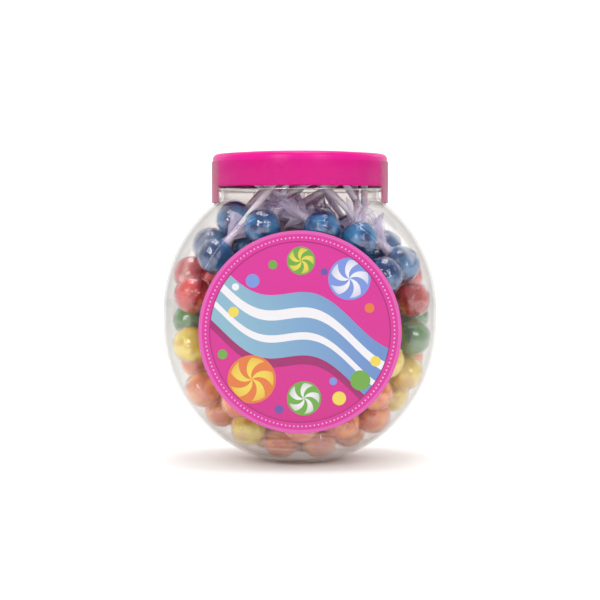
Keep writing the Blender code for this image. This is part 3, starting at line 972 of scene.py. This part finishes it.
RIM_DOTS = 144
RIM_DOT_REACH = 0.0470
RIM_DOT_SHARE = 0.17
PAINTED_RECESS_SHADE_INNER = 0.0446
PAINTED_RECESS_SHADE_OUTER = 0.0452
PAINTED_RIM_HIGHLIGHT_START = 0.0488
PINWHEELS = (
    (-0.0240, -0.0235, 0.0120, SUN_YELLOW, WARM_ORANGE),
    (0.0020, -0.0330, 0.0085, PAPER_WHITE, LEAF_GREEN),
    (0.0245, 0.0265, 0.0105, PAPER_WHITE, SKY_BLUE),
    (0.0005, 0.0355, 0.0070, SUN_YELLOW, LEAF_GREEN),
)
VANES = 5.0
VANE_CURL = 5.2
WHEEL_SHADE = 0.6
WHEEL_SHARE = 0.9
for x, z, radius, light_tone, dark_tone in PINWHEELS:
    from_middle = from_point(x, z)
    around = label_z.maths("ARCTAN2", label_z - z, label_x - x)
    vane = sine(around * VANES + from_middle * (VANE_CURL / radius)) > 0.0
    wheel = label_print.blend(vane, light_tone, dark_tone)
    wheel = label_print.blend(WHEEL_SHADE * (from_middle * (1 / radius)) ** 3, wheel, dark_tone)
    printed = label_print.blend(from_middle < radius, printed, dark_tone)
    printed = label_print.blend(from_middle < WHEEL_SHARE * radius, printed, wheel)

DOTS = (
    (-0.0330, 0.0100, 0.0026, SUN_YELLOW),
    (-0.0235, 0.0255, 0.0034, SKY_BLUE),
    (-0.0135, 0.0335, 0.0022, LEAF_GREEN),
    (-0.0320, 0.0225, 0.0018, PAPER_WHITE),
    (0.0345, 0.0120, 0.0024, WARM_ORANGE),
    (0.0120, 0.0300, 0.0018, VIOLET),
    (0.0300, -0.0240, 0.0050, LEAF_GREEN),
    (0.0375, -0.0145, 0.0026, SUN_YELLOW),
    (0.0195, -0.0330, 0.0034, SUN_YELLOW),
    (0.0165, -0.0245, 0.0019, SKY_BLUE),
    (-0.0105, -0.0385, 0.0022, VIOLET),
    (-0.0385, -0.0110, 0.0024, LEAF_GREEN),
)
for x, z, radius, dot_tone in DOTS:
    printed = label_print.blend(from_point(x, z) < radius, printed, dot_tone)

# A thin deep magenta ring inside the label's edge is painted shade from the recess's edge.
printed = label_print.blend(reach > PAINTED_RECESS_SHADE_INNER, printed, DEEP_MAGENTA)
printed = label_print.blend(reach > PAINTED_RECESS_SHADE_OUTER, printed, MAGENTA)
# The pale pink band round the label's edge is a painted highlight of the jar's clear rim.
printed = label_print.blend(reach > PAINTED_RIM_HIGHLIGHT_START, printed, PAINTED_RIM_HIGHLIGHT_PINK)
around_rim = label_z.maths("ARCTAN2", label_z, label_x)
rim_turn = around_rim * (RIM_DOTS / math.tau)
along_rim = rim_turn.maths("FRACT", rim_turn, 0.0) - 0.5
off_ring = (reach - RIM_DOT_REACH) * (RIM_DOTS / (math.tau * RIM_DOT_REACH))
dot_reach = (along_rim * along_rim + off_ring * off_ring) ** 0.5
printed = label_print.blend(dot_reach < RIM_DOT_SHARE, printed, DOT_PINK)
label_grain = label_print.noise(1500.0)
label_tooth = label_print.bump(label_grain, 0.00005, 0.2)
label_roughness = 0.34 + 0.08 * label_grain
label_paper = label_print.principled(printed, label_roughness, Normal=label_tooth, Coat_Weight=0.15)
piece("label_sheet", label, label_print.done(label_paper), ("label",), 20)


# Lid
# The screw lid, moulded in one piece of hard magenta plastic: a raised middle, a rounded upper edge and a
# plain skirt with a thin lip at its foot. It is turned as one hollow profile.
lid_low, lid_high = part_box("lid")
LID_RADIUS = lid_high[0]
LID_BOTTOM, LID_TOP = lid_low[2], lid_high[2]
LID_WALL = 0.0015
LID_ROOF = 0.0024
LID_EDGE = 0.0026
STEP_RADIUS = 0.0330
STEP_WIDTH = 0.0018
STEP_HEIGHT = 0.0007
STEP_SOFTNESS = 0.0001
LIP_HEIGHT = 0.0020
LIP_INSET = 0.0003
LID_EDGE_PIECES = 8
LID_STEPS = 160
lid_step = LID_TOP - STEP_HEIGHT
lip_radius = LID_RADIUS - LIP_INSET
lid_profile = [(0.0, LID_TOP), (STEP_RADIUS, LID_TOP)]
lid_profile += [(STEP_RADIUS + STEP_WIDTH / 3, LID_TOP - STEP_SOFTNESS)]
lid_profile += [(STEP_RADIUS + 2 * STEP_WIDTH / 3, lid_step + STEP_SOFTNESS)]
lid_profile += [(STEP_RADIUS + STEP_WIDTH, lid_step)]
lid_profile += arc(LID_RADIUS - LID_EDGE, lid_step - LID_EDGE, LID_EDGE, 90, 0, LID_EDGE_PIECES)
lid_profile += [(LID_RADIUS, LID_BOTTOM + 1.25 * LIP_HEIGHT), (lip_radius, LID_BOTTOM + LIP_HEIGHT)]
lid_profile += [(lip_radius, LID_BOTTOM + LIP_INSET), (lip_radius - LIP_INSET, LID_BOTTOM)]
lid_profile += [(LID_RADIUS - LID_WALL, LID_BOTTOM)]
lid_profile += [(LID_RADIUS - LID_WALL, LID_TOP - LID_ROOF), (0.0, LID_TOP - LID_ROOF)]
lid_plastic = Finish("lid_plastic")
lid_cloud = lid_plastic.noise(45.0, 2.0)
lid_tone = lid_plastic.blend(lid_cloud, tone(186, 0, 114), tone(198, 2, 124))
lid_pebble = lid_plastic.bump(lid_plastic.noise(2600.0, 1.0), 0.00003, 0.25)
lid_roughness = 0.24 + 0.1 * lid_cloud
lid_surface = lid_plastic.principled(lid_tone, lid_roughness, Normal=lid_pebble, Specular_IOR_Level=0.24)
piece("lid_cap", turned(lid_profile, LID_STEPS), lid_plastic.done(lid_surface), ("lid",))


# Seal band
# A sleeve of clear film, slipped over the lid's foot and the neck and shrunk on with hot air, which has
# left it in fine upright creases. It has to be torn before the lid can be turned.
band_low, band_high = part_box("seal_band")
BAND_RADIUS = band_high[0]
BAND_THICKNESS = 0.0002
BAND_ROWS = 8
BAND_STEPS = 180
BAND_TUCK = 0.001
BAND_CREASE = 0.008
CREASES_ROUND, CREASES_UP = 9, 60
BAND_PALE_RISE = 0.002
BAND_BOTTOM, BAND_TOP = band_low[2], band_high[2]
band_step = (BAND_TOP - BAND_BOTTOM) / BAND_ROWS
band_outer = [(BAND_RADIUS, BAND_BOTTOM + band_step * i) for i in range(BAND_ROWS, -1, -1)]
band_inner = [(r - BAND_THICKNESS, z) for r, z in reversed(band_outer)]
band = turned(band_outer + band_inner, BAND_STEPS, ring=True)
for vertex in band.verts:
    around = math.atan2(vertex.co.y, vertex.co.x)
    hang = max(LID_BOTTOM - vertex.co.z, 0.0) / (LID_BOTTOM - BAND_BOTTOM)
    ring_x, ring_y = CREASES_ROUND * math.cos(around), CREASES_ROUND * math.sin(around)
    crease = noise.noise(Vector((ring_x, ring_y, CREASES_UP * vertex.co.z)))
    pull = 1 - hang * (BAND_TUCK + BAND_CREASE * abs(crease))
    vertex.co.x *= pull
    vertex.co.y *= pull

# The film shows only where it is seen edge-on, and a little less so against the lid. Its dusty pink is a
# painted reflection of the lid.
seal_film = Finish("seal_film")
band_edge = seal_film.grazing()
band_wrinkle = seal_film.bump(seal_film.noise(60.0, 2.0, (8.0, 8.0, 1.0)), 0.0003, 0.5)
# Painted reflection: the lid's magenta seen in the film, given as a dusty pink colour.
band_painted_lid_reflection = seal_film.principled(tone(154, 66, 98), 0.30, Normal=band_wrinkle, Specular_IOR_Level=0.2)
band_fold = seal_film.remap(band_edge, 0.58, 0.68, 0.012, 0.84)
band_height = seal_film.axis(seal_film.place(), "Z")
band_free = seal_film.remap(band_height, LID_BOTTOM, LID_BOTTOM + BAND_PALE_RISE, 1.0, 0.75)
band_skin = seal_film.see_through(band_fold * band_free, tone(252, 251, 251), band_painted_lid_reflection)
piece("seal_sleeve", band, seal_film.done(band_skin), ("seal_band",))


# Floor
# The wide sheet of white paper that the jar stands on for its picture. It isn't part of the object, so it
# is set as the stage.
FLOOR_SIZE = 4.0
sweep = bmesh.new()
bmesh.ops.create_grid(sweep, x_segments=1, y_segments=1, size=FLOOR_SIZE / 2)
floor = mesh_object("floor", sweep)
white_floor = Finish("white_floor")
floor_tone = white_floor.blend(white_floor.noise(90.0), tone(238, 238, 238), tone(242, 242, 242))
floor.data.materials.append(white_floor.done(white_floor.principled(floor_tone, 0.9)))
